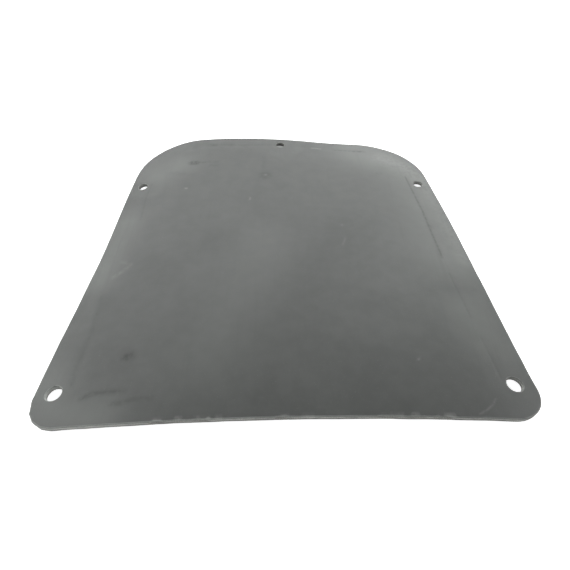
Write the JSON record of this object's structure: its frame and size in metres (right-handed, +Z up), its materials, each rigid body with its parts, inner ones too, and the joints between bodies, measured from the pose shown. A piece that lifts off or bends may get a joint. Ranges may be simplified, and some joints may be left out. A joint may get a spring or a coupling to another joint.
{
  "type": "mud flap",
  "caption": "Tapered reinforced rubber mud flap with a rounded top edge, small bolt holes along the top and larger ones in the lower corners; it flexes below its top band.",
  "frame": {"origin": "centre of the bounding box in X and Y, on the surface that the flap lies on, back face down", "axes": "+X across the flap, +Y towards its narrow top edge, +Z up, out of its front face"},
  "size_m": [0.2968, 0.296, 0.0121],
  "materials": {
    "front_rubber": "worn satin",
    "back_rubber": "matte",
    "core_rubber": "cut matte",
    "ply_cloth": "rubber-soaked plain weave"
  },
  "bodies": {
    "top_band": {"back_cover_upper": "back_rubber", "back_ply_upper": "ply_cloth", "core_upper": "core_rubber", "front_ply_upper": "ply_cloth", "front_cover_upper": "front_rubber", "back_cover_bend": "back_rubber", "back_ply_bend": "ply_cloth", "core_bend": "core_rubber", "front_ply_bend": "ply_cloth", "front_cover_bend": "front_rubber"},
    "lower_panel": {"back_cover_lower": "back_rubber", "back_ply_lower": "ply_cloth", "core_lower": "core_rubber", "front_ply_lower": "ply_cloth", "front_cover_lower": "front_rubber"}
  },
  "joints": [
    {"name": "flap_flex", "type": "hinge", "parent": "top_band", "child": "lower_panel", "pos_m": [0, 0.042, 0.00807], "axis": [1, 0, 0], "range_deg": [-75, 75], "stiffness_Nm_per_rad": 0.3, "deforming": ["back_cover_bend", "back_ply_bend", "core_bend", "front_ply_bend", "front_cover_bend"]}
  ]
}
